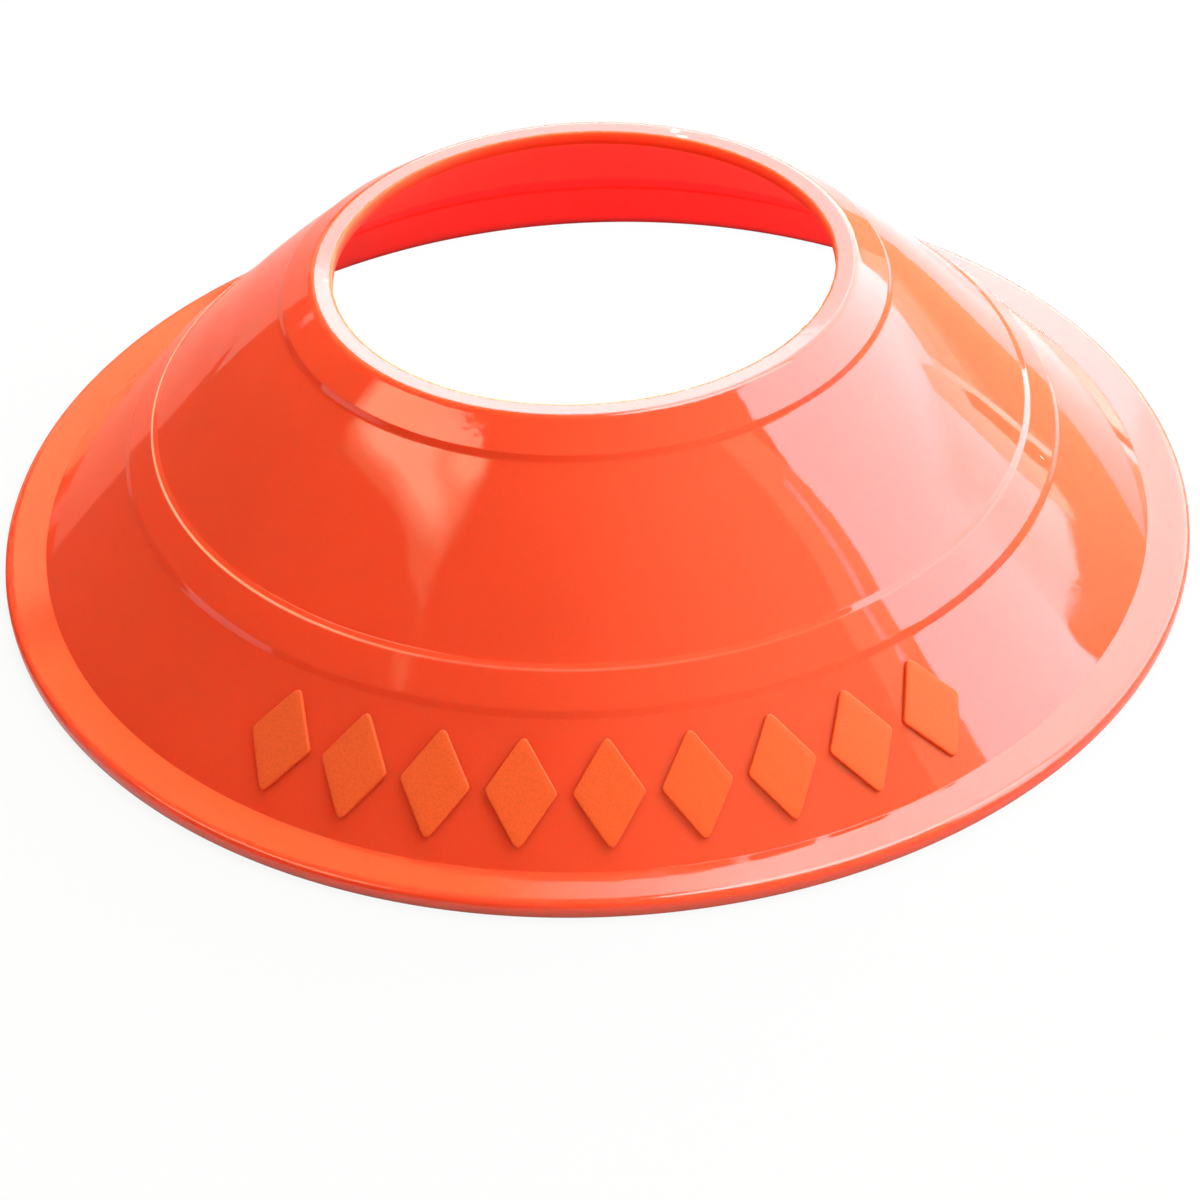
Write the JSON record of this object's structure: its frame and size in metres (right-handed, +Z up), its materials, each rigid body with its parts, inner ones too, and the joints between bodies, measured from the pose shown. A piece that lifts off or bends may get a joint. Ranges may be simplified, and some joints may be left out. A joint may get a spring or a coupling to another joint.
{
  "type": "sports marker cone",
  "caption": "Low hollow marker cone with a flat ground rim, a stepped skirt, a round hole in the top and raised lozenge marks; marks out pitches and drills, and nests in a stack.",
  "frame": {"origin": "centre of the ring that the rim stands on, in the ground plane", "axes": "+Z up along the cone's axis; the raised marks face -Y"},
  "size_m": [0.19, 0.19, 0.047],
  "materials": {
    "cone_plastic": "glossy moulded polyethylene, bright orange",
    "mark_plastic": "fine matte grain from the mould, the same orange"
  },
  "bodies": {
    "root": {"cone_shell": "cone_plastic", "raised_marks": "mark_plastic"}
  },
  "joints": []
}
